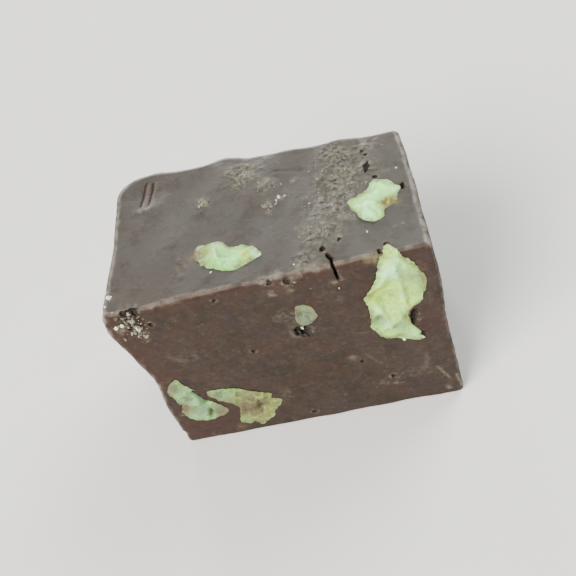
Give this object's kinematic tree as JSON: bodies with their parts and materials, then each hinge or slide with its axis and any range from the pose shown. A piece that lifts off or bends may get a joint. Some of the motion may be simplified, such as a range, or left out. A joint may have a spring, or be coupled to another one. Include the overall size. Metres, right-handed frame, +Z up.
{
  "type": "chocolate walnut candy",
  "caption": "Hand-cut block of firm milk chocolate candy with chopped walnut kernels set through it and cut flush with its faces.",
  "frame": {"origin": "middle of the base of the block's bounding box, on the surface that it rests on", "axes": "+Z up, +X along the block's longest side to the viewer's right, +Y from the front face to the back face, across its thinnest side"},
  "size_m": [0.0334, 0.0198, 0.0249],
  "materials": {
    "chocolate": "satin, knife-cut, with a faint grey bloom",
    "walnut": "cut kernel, dull, cream with ochre skin at its rim"
  },
  "bodies": {
    "root": {"chocolate": "chocolate", "walnut_front_large": "walnut", "walnut_front_small": "walnut", "walnut_front_left": "walnut", "walnut_front_low": "walnut", "walnut_top_left": "walnut", "walnut_top_right": "walnut", "walnut_left_upper": "walnut", "walnut_left_lower": "walnut", "walnut_left_small": "walnut", "walnut_left_back": "walnut", "walnut_right_large": "walnut", "walnut_right_upper": "walnut", "walnut_right_low": "walnut", "walnut_right_back": "walnut", "walnut_back_large": "walnut", "walnut_back_long": "walnut", "walnut_back_middle": "walnut", "walnut_back_corner": "walnut", "walnut_back_low": "walnut", "walnut_back_upper": "walnut", "walnut_back_tip": "walnut", "walnut_base_large": "walnut", "walnut_base_round": "walnut", "walnut_base_small": "walnut", "walnut_base_right": "walnut"}
  },
  "joints": []
}
